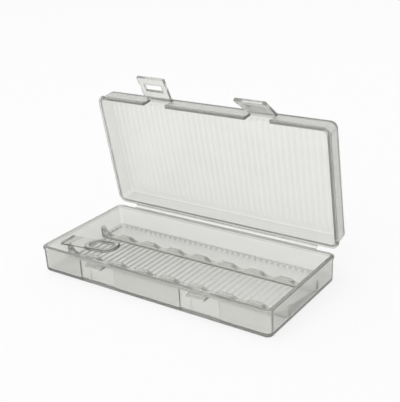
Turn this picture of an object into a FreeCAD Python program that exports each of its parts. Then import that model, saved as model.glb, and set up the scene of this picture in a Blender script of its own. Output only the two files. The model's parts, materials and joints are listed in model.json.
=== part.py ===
import FreeCAD, Part
import math
import os

# Hinged-lid pocket case for eight AA cells, moulded in clear polypropylene.
# Millimetres. Origin at the middle of the tray's underside, +X along the case,
# -Y towards the latches, +Y towards the hinge, +Z up. The lid and the latches
# are drawn shut and are then turned to the open pose they are modelled in.

Vec = FreeCAD.Vector
X_AXIS = Vec(1, 0, 0)
OPENING_AXIS = Vec(-1, 0, 0)
LIFTING_AXIS = Vec(0, -1, 0)
TOLERANCE = 1e-4
OVERCUT = 2.0

# ---- the cells that the case is made round
CELL_D = 14.5
CELL_LENGTH = 50.5
CELL_COUNT = 8
CELL_GAP = 0.05
CELL_END_ROOM = 1.15
CELL_SEAT_ROOM = 0.15
CELL_TOP_ROOM = 2.55

# ---- tray
TRAY_HEIGHT = 12.5
TRAY_WALL = 1.4
TRAY_FLOOR = 1.6
TRAY_DRAFT = 0.15
TRAY_RIM_PROUD = 0.4
TRAY_RIM_HEIGHT = 1.3
TRAY_CORNER = 2.8
TRAY_EDGE_ROUND = 1.6
TRAY_FOOT_ROUND = 0.8

# ---- cradle rails, fine ribs and the ticked ledge at the foot of the walls
RAIL_SPACING = 21.4
RAIL_THICKNESS = 2.4
CRADLE_RISE = 1.3
CUSP_RISE = 2.8
END_CUSP_RISE = 5.4
RIB_PITCH = 3.0
RIB_WIDTH = 1.6
RIB_BACK_WIDTH = 0.6
RIB_HEIGHT = 0.3
LEDGE_DEPTH = 0.8
LEDGE_HEIGHT = 1.35
TICK_WIDTH = 1.2
TICK_DEPTH = 0.3
TICK_HEIGHT = 1.0
LID_RIB_MARGIN = 2.6

# ---- lid
PARTING_GAP = 0.2
LID_SIDE_OVERHANG = 0.4
LID_FRONT_OVERHANG = 1.2
LID_WALL = 1.3
LID_PLATE = 1.3
LID_DRAFT = 0.25
LID_RIM_PROUD = 0.5
LID_RIM_HEIGHT = 1.2
LID_CORNER = 3.2
LID_EDGE_ROUND = 1.5
LID_FOOT_ROUND = 0.8
RIM_ROUND = 0.3

# ---- living hinge along the back
HINGE_REACH = 1.2
HINGE_LENGTH = 100.0
HINGE_LEAF_REACH = 0.4
HINGE_LEAF_HEIGHT = 0.6
WEB_THICKNESS = 0.35
LID_OPEN_ANGLE = 80.5

# ---- latches and the catch bars they hook over
LATCH_SPACING = 53.6
LATCH_WIDTH = 14.8
LATCH_THICKNESS = 1.2
LATCH_STANDOFF = 0.96
LATCH_PIVOT_RISE = 4.11
LATCH_ROOT_GAP = 0.45
LIP_LENGTH = 3.6
LIP_DEPTH = 1.5
CATCH_WIDTH = 8.8
CATCH_THICKNESS = 1.2
CATCH_TIP_THICKNESS = 0.6
CATCH_ENGAGEMENT = 0.54
WINDOW_SIDE_PLAY = 0.4
WINDOW_PLAY_BELOW = 1.16
WINDOW_PLAY_ABOVE = 1.14
WINDOW_BAR_HEIGHT = 0.7
WINDOW_BAR_PROUD = 0.4
RECESS_SIDE_ROOM = 2.3
RECESS_DEPTH = 0.8
CORE_MARK_DEPTH = 0.2
NOTCH_WIDTH = 12.0
NOTCH_HEIGHT = 5.0
SEAT_SIDE_SETBACK = 0.7
SEAT_GAP_OUT = 0.4
SEAT_GAP_UP = 0.25
SEAT_HEIGHT = 1.8
LEFT_LATCH_OPEN_ANGLE = 75.35
RIGHT_LATCH_OPEN_ANGLE = 48.0

# ---- lift tab with its finger ring, at the left end
TAB_BELOW_RIM = 2.9
TAB_CENTRE_Y = -12.6
TAB_THICKNESS = 0.6
TAB_REST_ANGLE = 5.0
TONGUE_WIDTH = 9.0
RING_START = 12.0
RING_LENGTH = 17.8
RING_WIDTH = 11.2
RING_CORNER = 5.4
RING_BAND = 2.6
RING_THICKNESS = 1.6
RING_EDGE_ROUND = 0.7
TONGUE_LAP = 2.4
ANCHOR_THICKNESS = 0.35
ANCHOR_HEIGHT = 1.6
TAB_NECK = 0.25
TAB_NECK_THICKNESS = 0.3

# ---- sizes that follow from the ones above
cell_pitch = CELL_D + CELL_GAP
tray_inner_x = CELL_COUNT * cell_pitch / 2
tray_inner_y = CELL_LENGTH / 2 + CELL_END_ROOM
tray_x = tray_inner_x + TRAY_WALL + TRAY_RIM_PROUD
tray_y = tray_inner_y + TRAY_WALL + TRAY_RIM_PROUD
rail_inner = RAIL_SPACING / 2
rail_outer = rail_inner + RAIL_THICKNESS
cradle_radius = CELL_D / 2 + CELL_SEAT_ROOM
cradle_axis_z = TRAY_FLOOR + CRADLE_RISE + cradle_radius
lid_top_z = cradle_axis_z + CELL_D / 2 + CELL_TOP_ROOM + RIB_HEIGHT + LID_PLATE
lid_rim_z = TRAY_HEIGHT + PARTING_GAP
lid_height = lid_top_z - lid_rim_z
lid_x = tray_x + LID_SIDE_OVERHANG
lid_y = tray_y + LID_FRONT_OVERHANG / 2
lid_centre_y = -LID_FRONT_OVERHANG / 2
lid_front_y = lid_centre_y - lid_y
hinge_y = tray_y + HINGE_REACH
hinge_z = TRAY_HEIGHT + PARTING_GAP / 2
latch_x = LATCH_SPACING / 2
latch_y = lid_front_y - LATCH_STANDOFF
latch_z = TRAY_HEIGHT + LATCH_PIVOT_RISE
catch_top_z = TRAY_HEIGHT - TRAY_RIM_HEIGHT
catch_bottom_z = catch_top_z - CATCH_THICKNESS
window_bottom_z = catch_bottom_z - WINDOW_PLAY_BELOW
window_top_z = catch_top_z + WINDOW_PLAY_ABOVE
tab_x = -tray_inner_x + ANCHOR_THICKNESS + TAB_NECK + TAB_THICKNESS / 2
tab_z = TRAY_HEIGHT - TAB_BELOW_RIM
hinge_point = Vec(0, hinge_y, hinge_z)
latch_point = Vec(0, latch_y, latch_z)
tab_point = Vec(tab_x, TAB_CENTRE_Y, tab_z)


def block(x0, x1, y0, y1, z0, z1):
    return Part.makeBox(x1 - x0, y1 - y0, z1 - z0, Vec(x0, y0, z0))


def prism_along_x(outline, x0, x1):
    """Solid with a straight-sided outline of (y, z) points, from x0 to x1."""
    points = [Vec(x0, y, z) for y, z in outline]
    face = Part.Face(Part.makePolygon(points + points[:1]))
    return face.extrude(Vec(x1 - x0, 0, 0))


def rounded_outline(half_x, half_y, radius, z):
    """Level closed wire of a rectangle with round corners."""
    edges = []
    last = None
    for quarter in range(5):
        angle = math.radians(45 + 90 * quarter)
        centre_x = math.copysign(half_x - radius, math.cos(angle))
        centre_y = math.copysign(half_y - radius, math.sin(angle))
        start, middle, end = (
            Vec(centre_x + radius * math.cos(angle + turn), centre_y + radius * math.sin(angle + turn), z)
            for turn in (-math.pi / 4, 0, math.pi / 4))
        if last is not None:
            edges.append(Part.makeLine(last, start))
        if quarter < 4:
            edges.append(Part.Arc(start, middle, end).toShape())
        last = end
    return Part.Wire(edges)


def tapered_block(low, high):
    return Part.makeLoft([low, high], True, True)


def round_level_edges(solid, z, radius):
    """Round every edge of the solid that lies at one height."""
    level = [e for e in solid.Edges if all(abs(v.Z - z) < TOLERANCE for v in e.Vertexes)]
    return solid.makeFillet(radius, level)


def tub(half_x, half_y, height, wall, base, draft, proud, rim_height, corner, edge_round, foot_round):
    """Open-topped moulding on z = 0: its shell, its hollow and its outer form."""
    wall_x = half_x - proud
    wall_y = half_y - proud
    form = tapered_block(rounded_outline(wall_x - draft, wall_y - draft, corner, 0),
                         rounded_outline(wall_x, wall_y, corner, height))
    form = round_level_edges(form, 0, edge_round)
    rim = Part.Face(rounded_outline(half_x, half_y, corner + proud, height - rim_height))
    rim = rim.extrude(Vec(0, 0, rim_height))
    rim = round_level_edges(rim, height, RIM_ROUND)
    rim = round_level_edges(rim, height - rim_height, RIM_ROUND)
    form = form.fuse(rim)
    depth = height - base
    widening = draft * OVERCUT / depth
    hollow = tapered_block(
        rounded_outline(wall_x - wall - draft, wall_y - wall - draft, corner - wall, base),
        rounded_outline(wall_x - wall + widening, wall_y - wall + widening, corner - wall, height + OVERCUT))
    hollow = round_level_edges(hollow, base, foot_round)
    return form.cut(hollow), hollow, form


def fine_rib(x, y0, y1, z, direction):
    """Low rib along Y on a level face, with sloping sides; direction is the side it stands on."""
    foot = RIB_WIDTH / 2
    back = RIB_BACK_WIDTH / 2
    back_z = z + direction * RIB_HEIGHT
    points = [Vec(x - foot, y0, z), Vec(x - back, y0, back_z), Vec(x + back, y0, back_z), Vec(x + foot, y0, z)]
    outline = Part.makePolygon(points + points[:1])
    return Part.Face(outline).extrude(Vec(0, y1 - y0, 0))


def rib_places(reach):
    """Evenly pitched places, centred on zero, whose ribs stay within the reach."""
    count = int((2 * reach - RIB_WIDTH) / RIB_PITCH) + 1
    return [(i - (count - 1) / 2) * RIB_PITCH for i in range(count)]


# ---- tray shell, with a shallow bay in its front wall behind each latch, and in
# ---- the bay the mark of the core that forms the underside of the catch
tray, tray_hollow, tray_form = tub(
    tray_x, tray_y, TRAY_HEIGHT, TRAY_WALL, TRAY_FLOOR, TRAY_DRAFT, TRAY_RIM_PROUD,
    TRAY_RIM_HEIGHT, TRAY_CORNER, TRAY_EDGE_ROUND, TRAY_FOOT_ROUND)
bay_y = -(tray_y - TRAY_RIM_PROUD - RECESS_DEPTH)
bay_half = LATCH_WIDTH / 2 + RECESS_SIDE_ROOM
for side in (-1, 1):
    tray = tray.cut(block(side * latch_x - bay_half, side * latch_x + bay_half,
                          bay_y - OVERCUT, bay_y, -OVERCUT, catch_top_z))
    tray = tray.cut(block(side * latch_x - CATCH_WIDTH / 2, side * latch_x + CATCH_WIDTH / 2,
                          bay_y - OVERCUT, bay_y + CORE_MARK_DEPTH, -OVERCUT, catch_bottom_z))


def cell_rail(y0, y1):
    """Scalloped wall that cradles the cells, with a taller half cusp at each end wall."""
    end_x = tray_inner_x - cell_pitch / 2
    rail = block(-tray_x, tray_x, y0, y1, 0, TRAY_FLOOR + END_CUSP_RISE)
    rail = rail.cut(block(-end_x, end_x, y0 - OVERCUT, y1 + OVERCUT,
                          TRAY_FLOOR + CUSP_RISE, TRAY_FLOOR + END_CUSP_RISE + OVERCUT))
    for i in range(CELL_COUNT):
        x = (i - (CELL_COUNT - 1) / 2) * cell_pitch
        start = Vec(x, y0 - OVERCUT, cradle_axis_z)
        length = y1 - y0 + 2 * OVERCUT
        rail = rail.cut(Part.makeCylinder(cradle_radius, length, start, Vec(0, 1, 0)))
    return rail.common(tray_hollow)


def floor_ribs():
    places = rib_places(tray_inner_x - TRAY_DRAFT - TRAY_FOOT_ROUND)
    return [fine_rib(x, -rail_inner, rail_inner, TRAY_FLOOR, 1) for x in places]


def ledge_reach(standing_out):
    """Where a foot detail ends that stands out from the inner faces of the walls."""
    return (tray_inner_x - TRAY_DRAFT - standing_out, tray_inner_y - TRAY_DRAFT - standing_out)


def wall_foot_ledge():
    """Ledge along the whole back wall and along the left wall as far as the rear rail."""
    face_x, face_y = ledge_reach(LEDGE_DEPTH)
    top = TRAY_FLOOR + LEDGE_HEIGHT
    along_back = block(-tray_x, tray_x, face_y, tray_y, 0, top)
    along_left = block(-tray_x, -face_x, rail_outer, tray_y, 0, top)
    return along_back.fuse(along_left).common(tray_hollow).removeSplitter()


def wall_foot_ticks(ledge):
    """Small upright ticks on the face of the ledge."""
    face_x, face_y = ledge_reach(LEDGE_DEPTH + TICK_DEPTH)
    top = TRAY_FLOOR + TICK_HEIGHT
    half = TICK_WIDTH / 2
    ticks = [block(x - half, x + half, face_y, tray_y, 0, top) for x in rib_places(face_x - TRAY_FOOT_ROUND)]
    ticks += [block(-tray_x, -face_x, y - half, y + half, 0, top)
              for y in rib_places(face_y) if y > rail_outer + half]
    return [tick.common(tray_hollow).cut(ledge) for tick in ticks]


def catch(x):
    """Bar under the rim that a latch's window drops over, with a sloping lead-in."""
    tip_y = latch_y + LATCH_THICKNESS / 2 - CATCH_ENGAGEMENT
    outline = [(bay_y, catch_bottom_z), (tip_y, catch_bottom_z), (tip_y, catch_bottom_z + CATCH_TIP_THICKNESS),
               (-tray_y, catch_top_z), (bay_y, catch_top_z)]
    return prism_along_x(outline, x - CATCH_WIDTH / 2, x + CATCH_WIDTH / 2)


# ---- lid, drawn shut
lid, lid_hollow, lid_form = tub(
    lid_x, lid_y, lid_height, LID_WALL, LID_PLATE, LID_DRAFT, LID_RIM_PROUD,
    LID_RIM_HEIGHT, LID_CORNER, LID_EDGE_ROUND, LID_FOOT_ROUND)
for form in (lid, lid_hollow, lid_form):
    form.rotate(Vec(0, 0, 0), X_AXIS, 180)
    form.translate(Vec(0, lid_centre_y, lid_top_z))
for side in (-1, 1):
    lid = lid.cut(block(side * latch_x - NOTCH_WIDTH / 2, side * latch_x + NOTCH_WIDTH / 2,
                        lid_front_y - OVERCUT, lid_front_y + LID_RIM_PROUD + LID_WALL + LID_DRAFT,
                        lid_rim_z - OVERCUT, lid_rim_z + NOTCH_HEIGHT))


def lid_ribs():
    inner_x = lid_x - LID_RIM_PROUD - LID_WALL - LID_DRAFT
    inner_y = lid_y - LID_RIM_PROUD - LID_WALL - LID_DRAFT - LID_RIB_MARGIN
    plate_z = lid_top_z - LID_PLATE
    return [fine_rib(x, lid_centre_y - inner_y, lid_centre_y + inner_y, plate_z, -1)
            for x in rib_places(inner_x - LID_FOOT_ROUND)]


# ---- living hinge along the back: a leaf on each rim and a thin web between them
def tray_hinge_leaf():
    return block(-HINGE_LENGTH / 2, HINGE_LENGTH / 2, tray_y, tray_y + HINGE_LEAF_REACH,
                 TRAY_HEIGHT - HINGE_LEAF_HEIGHT, TRAY_HEIGHT).cut(tray_form)


def lid_hinge_leaf():
    return block(-HINGE_LENGTH / 2, HINGE_LENGTH / 2, tray_y, tray_y + HINGE_LEAF_REACH,
                 lid_rim_z, lid_rim_z + HINGE_LEAF_HEIGHT).cut(lid_form)


def opened(shape):
    """The shape, turned with the lid from shut to its open pose."""
    turned = shape.copy()
    turned.rotate(hinge_point, OPENING_AXIS, LID_OPEN_ANGLE)
    return turned


def web_strip(start, bend, end, x0, x1, thickness):
    """Thin strip from start to end, (y, z) points, that folds round a bead at the bend."""
    strip = Part.makeCylinder(thickness / 2, x1 - x0, Vec(x0, bend[0], bend[1]), X_AXIS)
    for point in (start, end):
        along_y = point[0] - bend[0]
        along_z = point[1] - bend[1]
        scale = thickness / 2 / math.hypot(along_y, along_z)
        off_y = -along_z * scale
        off_z = along_y * scale
        corners = [(bend[0] + off_y, bend[1] + off_z), (point[0] + off_y, point[1] + off_z),
                   (point[0] - off_y, point[1] - off_z), (bend[0] - off_y, bend[1] - off_z)]
        strip = strip.fuse(prism_along_x(corners, x0, x1))
    return strip.removeSplitter()


def hinge_web(tray_leaf, lid_leaf):
    """Web at the open pose, ending on the middle of each leaf's edge."""
    half = HINGE_LENGTH / 2
    tray_end = (tray_y + HINGE_LEAF_REACH / 2, TRAY_HEIGHT - HINGE_LEAF_HEIGHT / 2)
    lid_end = FreeCAD.Vector(0, tray_end[0], lid_rim_z + HINGE_LEAF_HEIGHT / 2)
    turn = FreeCAD.Rotation(OPENING_AXIS, LID_OPEN_ANGLE)
    lid_end = hinge_point + turn.multVec(lid_end - hinge_point)
    web = web_strip(tray_end, (hinge_y, hinge_z), (lid_end.y, lid_end.z), -half, half, WEB_THICKNESS)
    return web.cut(tray_leaf).cut(lid_leaf)


# ---- latches, drawn shut: a flap with a window and a thick grip lip
def latch_flap(x):
    x0 = x - LATCH_WIDTH / 2
    x1 = x + LATCH_WIDTH / 2
    window_half = CATCH_WIDTH / 2 + WINDOW_SIDE_PLAY
    outer_y = latch_y - LATCH_THICKNESS / 2
    inner_y = latch_y + LATCH_THICKNESS / 2
    lip_y = outer_y + LIP_DEPTH
    tip_z = window_bottom_z - LIP_LENGTH
    outline = [(outer_y, latch_z - LATCH_ROOT_GAP), (outer_y, tip_z), (lip_y, tip_z),
               (lip_y, window_bottom_z), (inner_y, window_bottom_z), (inner_y, latch_z - LATCH_ROOT_GAP)]
    flap = prism_along_x(outline, x0, x1)
    flap = flap.fuse(block(x - window_half, x + window_half, inner_y, inner_y + WINDOW_BAR_PROUD,
                           window_top_z, window_top_z + WINDOW_BAR_HEIGHT))
    window = block(x - window_half, x + window_half, outer_y - OVERCUT, inner_y + OVERCUT,
                   window_bottom_z, window_top_z)
    return flap.cut(window)


def latch_seat(x):
    """Bar on the lid's front wall, above the notch, that the latch's web grows from."""
    half = LATCH_WIDTH / 2 - SEAT_SIDE_SETBACK
    bottom_z = latch_z + SEAT_GAP_UP
    seat = block(x - half, x + half, latch_y + SEAT_GAP_OUT, lid_front_y + LID_WALL,
                 bottom_z, bottom_z + SEAT_HEIGHT)
    return seat.cut(lid_form)


def swung(shape, angle):
    """The shape, turned with a latch from shut to its open pose on the shut lid."""
    turned = shape.copy()
    turned.rotate(latch_point, OPENING_AXIS, angle)
    return turned


def latch_web(x, angle, seat, flap):
    half = LATCH_WIDTH / 2 - SEAT_SIDE_SETBACK
    reach = 2 * LATCH_ROOT_GAP
    seat_end = (latch_y + reach, latch_z + reach)
    down = math.radians(angle)
    flap_end = (latch_y - reach * math.sin(down), latch_z - reach * math.cos(down))
    web = web_strip(seat_end, (latch_y, latch_z), flap_end, x - half, x + half, WEB_THICKNESS)
    return web.cut(seat).cut(flap).cut(lid_form)


# ---- lift tab: tongue and finger ring, drawn level and then tilted to its rest angle
def ring_prism(inset, thickness):
    """Level block with round corners, drawn in from the ring's outer edge by the inset."""
    bottom = Vec(tab_x + RING_START + RING_LENGTH / 2, TAB_CENTRE_Y, tab_z - thickness / 2)
    outline = rounded_outline(RING_LENGTH / 2 - inset, RING_WIDTH / 2 - inset, RING_CORNER - inset, 0)
    prism = Part.Face(outline).extrude(Vec(0, 0, thickness))
    prism.translate(bottom)
    return prism


def lift_tab():
    half = TAB_THICKNESS / 2
    bead = Part.makeCylinder(half, TONGUE_WIDTH, Vec(tab_x, TAB_CENTRE_Y - TONGUE_WIDTH / 2, tab_z),
                             Vec(0, 1, 0))
    tongue = block(tab_x, tab_x + RING_START + TONGUE_LAP, TAB_CENTRE_Y - TONGUE_WIDTH / 2,
                   TAB_CENTRE_Y + TONGUE_WIDTH / 2, tab_z - half, tab_z + half)
    ring = ring_prism(0, RING_THICKNESS).cut(ring_prism(RING_BAND, RING_THICKNESS + 2 * OVERCUT))
    ring = ring.makeFillet(RING_EDGE_ROUND, ring.Edges[:])
    tab = bead.fuse(tongue).fuse(ring).removeSplitter()
    tab.rotate(tab_point, LIFTING_AXIS, TAB_REST_ANGLE)
    return tab


def tab_anchor():
    half = TONGUE_WIDTH / 2
    return block(-tray_x, -tray_inner_x + ANCHOR_THICKNESS, TAB_CENTRE_Y - half, TAB_CENTRE_Y + half,
                 tab_z - ANCHOR_HEIGHT / 2, tab_z + ANCHOR_HEIGHT / 2).common(tray_hollow)


def tab_neck(tab):
    half = TONGUE_WIDTH / 2
    neck = block(-tray_inner_x + ANCHOR_THICKNESS, tab_x, TAB_CENTRE_Y - half, TAB_CENTRE_Y + half,
                 tab_z - TAB_NECK_THICKNESS / 2, tab_z + TAB_NECK_THICKNESS / 2)
    return neck.cut(tab)


nodes = {
    "tray_shell": [tray],
    "front_cell_rail": [cell_rail(-rail_outer, -rail_inner)],
    "rear_cell_rail": [cell_rail(rail_inner, rail_outer)],
    "floor_ribs": floor_ribs(),
    "wall_foot_ledge": [wall_foot_ledge()],
    "left_catch": [catch(-latch_x)],
    "right_catch": [catch(latch_x)],
    "tray_hinge_leaf": [tray_hinge_leaf()],
    "lid_shell": [opened(lid)],
    "lid_ribs": [opened(rib) for rib in lid_ribs()],
    "lid_hinge_leaf": [opened(lid_hinge_leaf())],
    "tab_anchor": [tab_anchor()],
    "lift_tab": [lift_tab()],
}
nodes["wall_foot_ticks"] = wall_foot_ticks(nodes["wall_foot_ledge"][0])
nodes["hinge_web"] = [hinge_web(nodes["tray_hinge_leaf"][0], nodes["lid_hinge_leaf"][0])]
nodes["tab_neck"] = [tab_neck(nodes["lift_tab"][0])]
for name, x, angle in (("left_latch", -latch_x, LEFT_LATCH_OPEN_ANGLE),
                       ("right_latch", latch_x, RIGHT_LATCH_OPEN_ANGLE)):
    seat = latch_seat(x)
    flap = swung(latch_flap(x), angle)
    nodes[name] = [opened(flap)]
    nodes[name + "_seat"] = [opened(seat)]
    nodes[name + "_web"] = [opened(latch_web(x, angle, seat, flap))]

os.makedirs("parts", exist_ok=True)
for name, shapes in nodes.items():
    solids = [solid for shape in shapes for solid in shape.Solids]
    whole = solids[0] if len(solids) == 1 else Part.Compound(solids)
    whole.exportStep(os.path.join("parts", name + ".step"))
    print(name, len(solids), "solids", round(whole.Volume, 2), "mm3", "valid", whole.isValid())
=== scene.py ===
import json
import math
import bmesh
import bpy
from mathutils import Matrix, Vector


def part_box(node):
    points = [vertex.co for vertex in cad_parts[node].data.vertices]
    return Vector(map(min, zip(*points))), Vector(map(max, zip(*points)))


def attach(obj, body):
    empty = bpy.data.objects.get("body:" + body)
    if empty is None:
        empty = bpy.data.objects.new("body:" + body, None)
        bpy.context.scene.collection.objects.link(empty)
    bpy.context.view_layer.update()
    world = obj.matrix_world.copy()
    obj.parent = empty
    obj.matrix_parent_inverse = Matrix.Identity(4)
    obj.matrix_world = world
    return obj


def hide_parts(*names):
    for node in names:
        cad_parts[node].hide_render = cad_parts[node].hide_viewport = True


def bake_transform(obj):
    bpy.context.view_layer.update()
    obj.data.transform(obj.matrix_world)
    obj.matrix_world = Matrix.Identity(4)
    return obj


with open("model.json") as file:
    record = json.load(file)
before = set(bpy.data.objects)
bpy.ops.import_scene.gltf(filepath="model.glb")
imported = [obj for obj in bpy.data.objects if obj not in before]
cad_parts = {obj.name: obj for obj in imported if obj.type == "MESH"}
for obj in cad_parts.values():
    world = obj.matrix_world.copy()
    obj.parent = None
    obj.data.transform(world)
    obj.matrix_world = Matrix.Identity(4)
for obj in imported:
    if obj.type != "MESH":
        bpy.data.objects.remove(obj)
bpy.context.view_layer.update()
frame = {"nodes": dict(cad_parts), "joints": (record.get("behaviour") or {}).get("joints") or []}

MM = 0.001
cad_nodes = frame["nodes"]
joints = {joint["name"]: joint for joint in frame["joints"]}
lid_open = -joints["lid_hinge"]["range_deg"][0]


# ---------------------------------------------------------------- materials
# Tint of each plastic seen square on, and its painted shade on a slant and edge on, and the slants where
# these hold.
CASE_SLANT_SHADES = (0.99, 0.755, 0.565)
TAB_SLANT_SHADES = (0.95, 0.86, 0.30)
SLANT_SHADE_STOPS = (0.15, 0.60, 1.0)
WARMTH = 0.978
# Painted light and shade that the marks on faces give the tint: lighter lid ribs, thin panels and floor
# behind the rails, darker foot ticks and small rounds.
RIB_PAINTED_LIGHT = 1.06
THIN_AND_FLOOR_LIGHT = 1.15
TICK_SHADE = 0.7
CASE_EDGE_SHADE = 0.85
TAB_EDGE_SHADE = 0.5
REFRACTION = 1.49
CASE_SHINE = 0.24
TAB_SHINE = 0.5
CASE_ROUGH = 0.15
TAB_ROUGH = 0.05
CASE_CLEAR = 0.865
TAB_CLEAR = 1.0
DEPTH_TINT = (0.80, 0.80, 0.775, 1)
CASE_DENSITY = 205
TAB_DENSITY = 250
STREAK_SCALE = (60, 180, 180)
STREAK_RANGE = (0.3, 0.7)
HAZE_SPREAD = 0.03
GRAIN_SCALE = 900.0
POLISH_SPREAD = 0.04
WAVE_SCALE = 260.0
WAVE_STRENGTH = 0.25
WAVE_HEIGHT = 0.08 * MM


def connect(tree, node, inputs):
    """Give inputs of a node constants or the outputs of other nodes."""
    for name, value in inputs.items():
        if isinstance(value, bpy.types.NodeSocket):
            tree.links.new(value, node.inputs[name])
        else:
            node.inputs[name].default_value = value


def add(tree, kind, inputs=None, operation=None):
    """New shader node with its inputs."""
    node = tree.nodes.new("ShaderNode" + kind)
    if operation:
        node.operation = operation
    connect(tree, node, inputs or {})
    return node


def combined(tree, operation, first, second):
    """Two numbers combined by a math operation."""
    return add(tree, "Math", {0: first, 1: second}, operation).outputs[0]


def mark_level(tree, mark, level):
    """1 on plain faces and level on the faces that carry the mark."""
    marked = add(tree, "Attribute")
    marked.attribute_name = mark
    ramp = add(tree, "MapRange", {"Value": marked.outputs["Fac"], "To Min": 1.0, "To Max": level})
    return ramp.outputs["Result"]


def slant_shade(tree, slant_shades):
    """Tint of the plastic, with painted shade where it is looked through on a slant."""
    slant = add(tree, "LayerWeight")
    shade = add(tree, "ValToRGB", {"Fac": slant.outputs["Facing"]})
    shade.color_ramp.elements.new(SLANT_SHADE_STOPS[1])
    for stop, place, tint in zip(shade.color_ramp.elements, SLANT_SHADE_STOPS, slant_shades):
        stop.position = place
        stop.color = (tint, tint, tint * WARMTH, 1)
    return shade.outputs["Color"]


def cloudiness(tree, place):
    """Faint streaks that the flow of the plastic leaves along the case."""
    stretch = add(tree, "Mapping", {"Vector": place, "Scale": STREAK_SCALE})
    clouds = add(tree, "TexNoise", {"Vector": stretch.outputs["Vector"], "Scale": 1.0, "Detail": 3.0})
    haze = add(tree, "MapRange", {
        "Value": clouds.outputs["Fac"], "From Min": STREAK_RANGE[0], "From Max": STREAK_RANGE[1],
        "To Min": 1 - HAZE_SPREAD, "To Max": 1.0})
    return haze.outputs["Result"]


def uneven_polish(tree, place, roughness):
    """Roughness that varies a little over the surface."""
    grain = add(tree, "TexNoise", {"Vector": place, "Scale": GRAIN_SCALE, "Detail": 2.0})
    polish = add(tree, "MapRange", {
        "Value": grain.outputs["Fac"],
        "To Min": roughness - POLISH_SPREAD, "To Max": roughness + POLISH_SPREAD})
    return polish.outputs["Result"]


def waviness(tree, place):
    """Slight waves of a moulded face."""
    wave = add(tree, "TexNoise", {"Vector": place, "Scale": WAVE_SCALE, "Detail": 1.0})
    bump = add(tree, "Bump", {
        "Height": wave.outputs["Fac"], "Strength": WAVE_STRENGTH, "Distance": WAVE_HEIGHT})
    return bump.outputs["Normal"]


def plastic(name, slant_shades, roughness, clear, shine, density, edges):
    """Clear moulded plastic with painted light and shade in its tint; edges is the painted shade that
    its small rounds give the tint.
    """
    material = bpy.data.materials.new(name)
    material.use_nodes = True
    tree = material.node_tree
    place = add(tree, "TexCoord").outputs["Object"]
    level = cloudiness(tree, place)
    # Painted light on the lid ribs, the thin panels and the floor behind the rails; painted shade on the
    # small rounds, the rib flanks and the foot ticks.
    changes = {"rib": RIB_PAINTED_LIGHT, "edge": edges, "thin": THIN_AND_FLOOR_LIGHT, "tick": TICK_SHADE}
    for mark, change in changes.items():
        level = combined(tree, "MULTIPLY", level, mark_level(tree, mark, change))
    # Tint with painted shade on a slant, scaled by the haze and the painted light and shade of the
    # marks.
    tint = add(tree, "VectorMath", {0: slant_shade(tree, slant_shades), "Scale": level}, "SCALE")
    depth = add(tree, "VolumeAbsorption", {"Color": DEPTH_TINT, "Density": density})
    connect(tree, tree.nodes["Principled BSDF"], {
        "IOR": REFRACTION,
        "Transmission Weight": clear,
        "Specular IOR Level": shine,
        "Base Color": tint.outputs[0],
        "Roughness": uneven_polish(tree, place, roughness),
        "Normal": waviness(tree, place)})
    connect(tree, tree.nodes["Material Output"], {"Volume": depth.outputs["Volume"]})
    return material


case = plastic("case_plastic", CASE_SLANT_SHADES, CASE_ROUGH, CASE_CLEAR, CASE_SHINE,
               CASE_DENSITY, CASE_EDGE_SHADE)
clear = plastic("tab_plastic", TAB_SLANT_SHADES, TAB_ROUGH, TAB_CLEAR, TAB_SHINE,
                TAB_DENSITY, TAB_EDGE_SHADE)
for name, node in cad_nodes.items():
    node.data.materials.clear()
    node.data.materials.append(clear if name in ("lift_tab", "tab_neck", "tab_anchor") else case)


# ---------------------------------------------------------------- mesh helpers
JOIN_DISTANCE = 0.001 * MM
FLAT_ANGLE = math.radians(0.5)
SHARP_ANGLE = math.radians(35)
SMOOTH_ANGLE = 32
NORMAL_MARGIN = 8
FLAT_REGION = 30 * MM ** 2
POCKET_VOLUME = 0.05 * MM ** 3
# A small round's faces are this narrow and turn this much at their long sides,
# which are those longer than this share of the longest.
NARROW_FACE = 0.22 * MM
ROUND_TURNS = (math.radians(5), math.radians(60))
LONG_SIDE = 0.5


def new_object(name, mesh):
    piece = bpy.data.objects.new(name, mesh)
    bpy.context.scene.collection.objects.link(piece)
    return piece


def mesh_work(mesh):
    """Editable copy of a mesh."""
    work = bmesh.new()
    work.from_mesh(mesh)
    return work


def merged_faces(source, softening=0.0, foot=None):
    """Copy of a mesh whose flat faces are whole; softening rounds its free edges, but not its foot's."""
    work = mesh_work(source)
    bmesh.ops.remove_doubles(work, verts=work.verts, dist=JOIN_DISTANCE)
    bmesh.ops.dissolve_limit(work, angle_limit=FLAT_ANGLE, verts=work.verts, edges=work.edges,
                             delimit={"MATERIAL"})
    if softening:
        sharp = [edge for edge in work.edges
                 if edge.is_manifold and edge.is_convex and edge.calc_face_angle() > SHARP_ANGLE
                 and not (foot and any(foot(face) for face in edge.link_faces))]
        bmesh.ops.bevel(work, geom=sharp, offset=softening, offset_type="OFFSET", segments=2,
                        profile=0.5, affect="EDGES", clamp_overlap=False)
    bmesh.ops.triangulate(work, faces=[face for face in work.faces if len(face.verts) > 4])
    mesh = bpy.data.meshes.new(source.name + "_soft")
    for material in source.materials:
        mesh.materials.append(material)
    work.to_mesh(mesh)
    work.free()
    return mesh


def applied(piece):
    """Mesh of the piece with its modifiers applied."""
    graph = bpy.context.evaluated_depsgraph_get()
    return bpy.data.meshes.new_from_object(piece.evaluated_get(graph))


def face_groups(work, joined):
    """Groups of faces that are joined to each other over clean edges."""
    seen, groups = set(), []
    for face in work.faces:
        if face in seen:
            continue
        seen.add(face)
        group, queue = [], [face]
        while queue:
            here = queue.pop()
            group.append(here)
            for edge in here.edges:
                for other in edge.link_faces if len(edge.link_faces) == 2 else ():
                    if other not in seen and joined(here, other):
                        seen.add(other)
                        queue.append(other)
        groups.append(group)
    return groups


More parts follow.
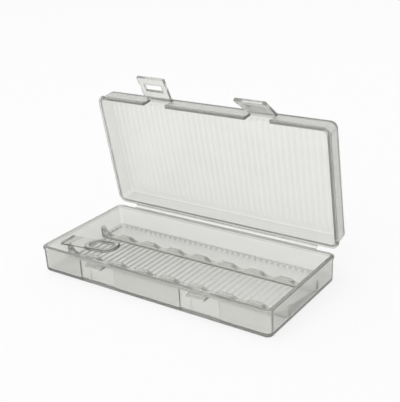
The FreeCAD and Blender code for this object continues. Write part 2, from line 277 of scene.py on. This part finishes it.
def flat_regions(mesh):
    """Faces that belong to the larger flat regions of a mesh."""
    work = mesh_work(mesh)
    groups = face_groups(work, lambda here, other: other.normal.angle(here.normal, 0) < FLAT_ANGLE)
    large = [group for group in groups if sum(face.calc_area() for face in group) > FLAT_REGION]
    flat = {face.index for group in large for face in group}
    work.free()
    return flat


def without_pockets(mesh):
    """The mesh without the hair-fine closed pockets left where two moulded rounds meet."""
    work = mesh_work(mesh)
    bmesh.ops.remove_doubles(work, verts=work.verts, dist=JOIN_DISTANCE)
    for group in face_groups(work, lambda here, other: True):
        volume = sum(face.calc_center_median().dot(face.normal) * face.calc_area()
                     for face in group) / 3
        if abs(volume) < POCKET_VOLUME:
            bmesh.ops.delete(work, geom=group, context="FACES")
    work.to_mesh(mesh)
    work.free()
    return mesh


def smooth_over(piece, angle=SMOOTH_ANGLE):
    """Smooth shading across the rounds, with the flat regions kept truly flat."""
    piece.data.shade_smooth()
    piece.data.set_sharp_from_angle(angle=math.radians(angle))
    weighting = piece.modifiers.new("even_normals", "WEIGHTED_NORMAL")
    weighting.keep_sharp = True
    weighting.weight = 100
    piece.data = applied(piece)
    piece.modifiers.clear()
    mesh = piece.data
    flat = flat_regions(mesh)
    farthest = math.radians(angle + NORMAL_MARGIN)
    normals = [Vector(corner.vector) for corner in mesh.corner_normals]
    for face in mesh.polygons:
        for corner in face.loop_indices:
            if face.index in flat or normals[corner].angle(face.normal, 0) > farthest:
                normals[corner] = face.normal
    mesh.normals_split_custom_set(normals)


def mark(mesh, name, values):
    """Number on every face, which the plastic's tint reads."""
    mesh.attributes.new(name, "FLOAT", "FACE").data.foreach_set("value", values)


def small_rounds(mesh, widest):
    """1 for each face of a small convex edge round, which turns a little at both its long sides."""
    work = mesh_work(mesh)
    found = []
    for face in work.faces:
        longest = max(edge.calc_length() for edge in face.edges)
        turns = [edge.calc_face_angle_signed(0) for edge in face.edges
                 if edge.is_manifold and edge.calc_length() > LONG_SIDE * longest]
        rounded = sum(ROUND_TURNS[0] < turn < ROUND_TURNS[1] for turn in turns) >= 2
        found.append(float(rounded and face.calc_area() < widest * longest))
    work.free()
    return found


# ---------------------------------------------------------------- mouldings
PLAIN, LID_RIB, FLOOR_RIB, FOOT_TICK = TAGS = range(4)
# Painted shade on the floor ribs' flanks, as a share of the small rounds' painted shade.
RIB_FLANK_SHADE = 0.3
# How squarely a face looks along a direction, to count as level or as facing that way.
LEVEL = 0.97
FACING = 0.9
SHELL_SOFTENING = 0.12 * MM
RAIL_SOFTENING = 0.14 * MM
PANEL_SET_BACK = (0.7 * MM, 2.2 * MM)
FLOOR_TOLERANCE = 0.1 * MM
tray_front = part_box("tray_shell")[0][1]
recess_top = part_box("left_catch")[1][2]
floor_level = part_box("floor_ribs")[0][2]
rail_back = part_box("rear_cell_rail")[1][1]


def thin_panel(face):
    """The panels set back into the tray's front under the catches, where the wall is thinner and the
    tint gets painted light.
    """
    set_back = PANEL_SET_BACK[0] < face.center.y - tray_front < PANEL_SET_BACK[1]
    return face.normal.y < -FACING and set_back and face.center.z < recess_top


def painted_lit_floor(face):
    """The floor behind the rails, whose tint is painted lighter where it catches the light."""
    on_floor = abs(face.center.z - floor_level) < FLOOR_TOLERANCE
    return face.normal.z > LEVEL and on_floor and face.center.y > rail_back


def tagged(mesh, tag):
    """The same mesh with a number on its faces that lives through a union."""
    mesh.materials.clear()
    for _ in TAGS:
        mesh.materials.append(case)
    for face in mesh.polygons:
        face.material_index = tag
    return mesh


def joined_to(piece, nodes, tags, softened):
    """Mesh of the piece in one with the nodes."""
    parts = []
    for node in nodes:
        source = merged_faces(cad_nodes[node].data, softened.get(node, 0.0),
                              foot=lambda face: face.normal.z < -FACING)
        part = new_object(node + "_part", tagged(source, tags.get(node, PLAIN)))
        union = piece.modifiers.new(node, "BOOLEAN")
        union.operation = "UNION"
        union.solver = "MANIFOLD"
        union.material_mode = "INDEX"
        union.object = part
        parts.append(part)
    mesh = applied(piece)
    piece.modifiers.clear()
    for part in parts:
        bpy.data.objects.remove(part)
    return without_pockets(merged_faces(without_pockets(mesh)))


def mark_moulding(mesh):
    """Marks of painted light and shade for the plastic's tint, from the tags and the shapes of the
    faces.
    """
    # The edge mark is painted shade on the small rounds and, fainter, on the floor ribs' flanks.
    flanks = [RIB_FLANK_SHADE * (face.material_index == FLOOR_RIB and face.normal.z < LEVEL)
              for face in mesh.polygons]
    mark(mesh, "edge", [max(pair) for pair in zip(small_rounds(mesh, NARROW_FACE), flanks)])
    # The rib mark is a painted highlight on the lid ribs.
    mark(mesh, "rib", [float(face.material_index == LID_RIB) for face in mesh.polygons])
    # The tick mark is painted shade on the foot ticks.
    mark(mesh, "tick", [float(face.material_index == FOOT_TICK) for face in mesh.polygons])
    # The thin mark is painted light on the thin panels and on the floor behind the rails.
    mark(mesh, "thin", [float(thin_panel(face) or painted_lit_floor(face)) for face in mesh.polygons])
    for face in mesh.polygons:
        face.material_index = 0
    mesh.materials.clear()
    mesh.materials.append(case)


def one_moulding(name, body, shell, details, tags, softened):
    """One mesh for what is moulded as one piece, so that light crosses no inner faces."""
    piece = new_object(name, tagged(merged_faces(cad_nodes[shell].data, SHELL_SOFTENING), PLAIN))
    piece.data = joined_to(piece, details, tags, softened)
    mark_moulding(piece.data)
    smooth_over(piece)
    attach(piece, body)
    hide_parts(shell, *details)


# The tags carry painted shade onto the floor ribs' flanks and the foot ticks, and a painted highlight
# onto the lid ribs.
one_moulding(
    "tray_moulding", "tray", "tray_shell",
    ["front_cell_rail", "rear_cell_rail", "floor_ribs", "wall_foot_ledge", "wall_foot_ticks",
     "left_catch", "right_catch", "tray_hinge_leaf", "tab_anchor"],
    tags={"floor_ribs": FLOOR_RIB, "wall_foot_ticks": FOOT_TICK},
    softened={"front_cell_rail": RAIL_SOFTENING, "rear_cell_rail": RAIL_SOFTENING})
one_moulding(
    "lid_moulding", "lid", "lid_shell",
    ["lid_ribs", "lid_hinge_leaf", "left_latch_seat", "right_latch_seat"],
    tags={"lid_ribs": LID_RIB}, softened={})


# ---------------------------------------------------------------- flexing webs
WEB_THICKNESS = 0.35 * MM
WEB_FOLD_THICKNESS = 0.22 * MM
WEB_STEPS = 16
LATCH_WEB_REACH = 0.9 * MM


def turned(y, z, degrees):
    """A (y, z) step turned the way the lid and the latches open."""
    angle = math.radians(degrees)
    return Vector((y * math.cos(angle) + z * math.sin(angle),
                   z * math.cos(angle) - y * math.sin(angle)))


def web_corners(start, fold, end, x0, x1):
    """The four corners of the web's section at each step from start to end."""
    guide = 2 * fold - (start + end) / 2
    corners = []
    for i in range(WEB_STEPS + 1):
        t = i / WEB_STEPS
        middle = start * (1 - t) ** 2 + guide * 2 * t * (1 - t) + end * t ** 2
        along = ((guide - start) * (1 - t) + (end - guide) * t).normalized()
        thin = math.sin(math.pi * t)
        half = (WEB_THICKNESS * (1 - thin) + WEB_FOLD_THICKNESS * thin) / 2
        off = Vector((-along.y, along.x)) * half
        for x in (x0, x1):
            for side in (middle + off, middle - off):
                corners.append((x, side.x, side.y))
    return corners


def web(name, start, fold, end, x0, x1):
    """Thin sheet that curves round a fold line, thinnest at the fold; points are (y, z)."""
    last = 4 * WEB_STEPS
    faces = [(0, 1, 3, 2), (last, last + 2, last + 3, last + 1)]
    for a in range(0, last, 4):
        b = a + 4
        faces += [(a, a + 2, b + 2, b), (a + 1, b + 1, b + 3, a + 3),
                  (a, b, b + 1, a + 1), (a + 2, a + 3, b + 3, b + 2)]
    mesh = bpy.data.meshes.new(name)
    mesh.from_pydata(web_corners(start, fold, end, x0, x1), [], faces)
    work = mesh_work(mesh)
    bmesh.ops.recalc_face_normals(work, faces=work.faces)
    work.to_mesh(mesh)
    work.free()
    mesh.materials.append(case)
    piece = new_object(name, mesh)
    smooth_over(piece)
    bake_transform(piece)
    return piece


def hinge_web():
    """The web along the back that the lid swings on."""
    low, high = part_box("tray_hinge_leaf")
    fold = Vector(joints["lid_hinge"]["pos_m"][1:])
    start = Vector((high[1], (low[2] + high[2]) / 2))
    step = start - fold
    end = fold + turned(step.x, -step.y, lid_open)
    piece = web("hinge_web_sheet", start, fold, end, low[0], high[0])
    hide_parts("hinge_web")


def latch_web(side):
    """The web that joins a latch flap to the lid's front edge."""
    joint = joints[side + "_latch_hinge"]
    low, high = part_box(side + "_latch_seat")
    fold = Vector(joint["pos_m"][1:])
    start = fold + turned(LATCH_WEB_REACH, LATCH_WEB_REACH, lid_open)
    open_angle = -joint["range_deg"][0]
    end = fold + turned(0, -LATCH_WEB_REACH, lid_open + open_angle)
    piece = web(side + "_latch_web_sheet", start, fold, end, low[0], high[0])
    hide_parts(side + "_latch_web")


hinge_web()
latch_web("left")
latch_web("right")


# ---------------------------------------------------------------- latches
LATCH_SOFTENING = 0.14 * MM
LATCH_SMOOTH_ANGLE = 50


def latch(side):
    """A latch flap, with its edges rounded off."""
    node = side + "_latch"
    piece = new_object(node + "_flap", merged_faces(cad_nodes[node].data, LATCH_SOFTENING))
    # The edge mark paints shade on the flap's small rounds.
    mark(piece.data, "edge", small_rounds(piece.data, NARROW_FACE))
    smooth_over(piece, LATCH_SMOOTH_ANGLE)
    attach(piece, node)
    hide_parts(node)


latch("left")
latch("right")


# ---------------------------------------------------------------- lift tab
RING_ROUND_FACE = 0.45 * MM
RING_SMOOTH_ANGLE = 40
NECK_STEPS = 6
NEARLY_WHOLE = 0.9


def lift_tab():
    """The ring of the lift tab with its tongue."""
    piece = new_object("lift_tab_ring", merged_faces(cad_nodes["lift_tab"].data))
    # The edge mark paints shade on the ring's small rounds.
    mark(piece.data, "edge", small_rounds(piece.data, RING_ROUND_FACE))
    smooth_over(piece, RING_SMOOTH_ANGLE)
    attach(piece, "lift_tab")
    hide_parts("lift_tab")


def tab_web():
    """The thin neck the tab bends at, between its anchor on the wall and the tongue."""
    low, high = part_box("tab_neck")
    piece = new_object("tab_neck_sheet", merged_faces(cad_nodes["tab_neck"].data))
    work = mesh_work(piece.data)
    along = [edge for edge in work.edges
             if abs(edge.verts[0].co.x - edge.verts[1].co.x) > NEARLY_WHOLE * (high[0] - low[0])]
    bmesh.ops.subdivide_edges(work, edges=along, cuts=NECK_STEPS, use_grid_fill=True)
    work.to_mesh(piece.data)
    work.free()
    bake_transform(piece)
    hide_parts("tab_neck")


lift_tab()
tab_web()


# ---------------------------------------------------------------- stage
WHITE = (1, 1, 1, 1)
FLOOR_PAINT = (0.88, 0.88, 0.88, 1)
BACKGROUND_LEVEL = 0.973
FLOOR_GLOW = 0.8
FLOOR_REACH = 3.0
# The floor lies a little below the tray's underside, so that the two never cover each other.
FLOOR_GAP = 0.03 * MM
HORIZON_LEVEL = 0.84
OVERHEAD_LEVEL = 1.0
SKY_FADE = 0.8
FALL_RIGHT = 0.38
FALL_BACK = 0.32
KEY_PLACE = (0.0, -0.1, 1.4)
KEY_SIZE = 1.4
KEY_POWER = 5.0
CAMERA_LENS = 71.61
CAMERA_PLACE = (0.191853, -0.252686, 0.164621)
CAMERA_RIGHT = (0.82267625, 0.56632281, -0.04982234)
CAMERA_UP = (-0.17642963, 0.3376342, 0.9245949)
CAMERA_BACK = (0.54044091, -0.75185213, 0.37767975)


def floor_material():
    """White floor that is seen nearly evenly lit and keeps the object's shadow."""
    material = bpy.data.materials.new("floor")
    material.use_nodes = True
    tree = material.node_tree
    tree.nodes.remove(tree.nodes["Principled BSDF"])
    paint = add(tree, "BsdfDiffuse", {"Color": FLOOR_PAINT})
    glow = add(tree, "Emission", {"Strength": BACKGROUND_LEVEL})
    path = add(tree, "LightPath").outputs
    seen = combined(tree, "MAXIMUM", path["Is Camera Ray"], path["Is Glossy Ray"])
    seen = combined(tree, "MAXIMUM", seen, path["Is Transmission Ray"])
    share = combined(tree, "MULTIPLY", seen, FLOOR_GLOW)
    mix = add(tree, "MixShader", {0: share, 1: paint.outputs[0], 2: glow.outputs[0]})
    connect(tree, tree.nodes["Material Output"], {"Surface": mix.outputs[0]})
    return material


def floor_sheet():
    s = FLOOR_REACH
    z = -FLOOR_GAP
    mesh = bpy.data.meshes.new("floor")
    mesh.from_pydata([(-s, -s, z), (s, -s, z), (s, s, z), (-s, s, z)], [], [(0, 1, 2, 3)])
    floor = new_object("floor", mesh)
    mesh.materials.append(floor_material())


def sky_level(tree):
    """Strength of the soft light, less towards the horizon and towards the back right."""
    direction = add(tree, "TexCoord").outputs["Generated"]
    height = add(tree, "SeparateXYZ", {0: direction}).outputs["Z"]
    rise = add(tree, "MapRange", {
        "Value": height, "From Min": 0.0, "From Max": SKY_FADE,
        "To Min": HORIZON_LEVEL, "To Max": OVERHEAD_LEVEL})
    rise.interpolation_type = "SMOOTHSTEP"
    away = add(tree, "VectorMath", {0: direction, 1: (FALL_RIGHT, FALL_BACK, 0)}, "DOT_PRODUCT")
    side = combined(tree, "SUBTRACT", 1.0, away.outputs["Value"])
    return combined(tree, "MULTIPLY", rise.outputs["Result"], side)


def studio_world():
    """Soft surroundings, brighter overhead than at the horizon; seen directly they are white."""
    world = bpy.data.worlds.new("studio")
    bpy.context.scene.world = world
    world.use_nodes = True
    tree = world.node_tree
    lit = tree.nodes["Background"]
    connect(tree, lit, {"Color": WHITE, "Strength": sky_level(tree)})
    seen = add(tree, "Background", {"Color": WHITE, "Strength": BACKGROUND_LEVEL})
    path = add(tree, "LightPath").outputs
    either = combined(tree, "MAXIMUM", path["Is Camera Ray"], path["Is Transmission Ray"])
    mix = add(tree, "MixShader", {0: either, 1: lit.outputs[0], 2: seen.outputs[0]})
    connect(tree, tree.nodes["World Output"], {"Surface": mix.outputs[0]})


def key_light():
    """Large soft lamp overhead, turned to the object."""
    data = bpy.data.lights.new("overhead", "AREA")
    data.shape = "SQUARE"
    data.size = KEY_SIZE
    data.energy = KEY_POWER
    lamp = new_object("overhead", data)
    lamp.location = KEY_PLACE
    lamp.rotation_euler = (Vector() - Vector(KEY_PLACE)).to_track_quat("-Z", "Y").to_euler()


def camera():
    """Camera that stands where the photo's did."""
    data = bpy.data.cameras.new("camera")
    data.sensor_width = 36
    data.lens = CAMERA_LENS
    view = new_object("camera", data)
    place = Matrix((CAMERA_RIGHT, CAMERA_UP, CAMERA_BACK)).transposed().to_4x4()
    place.translation = Vector(CAMERA_PLACE)
    view.matrix_world = place
    bpy.context.scene.camera = view


floor_sheet()
studio_world()
key_light()
camera()
bpy.context.scene.view_settings.view_transform = "Standard"
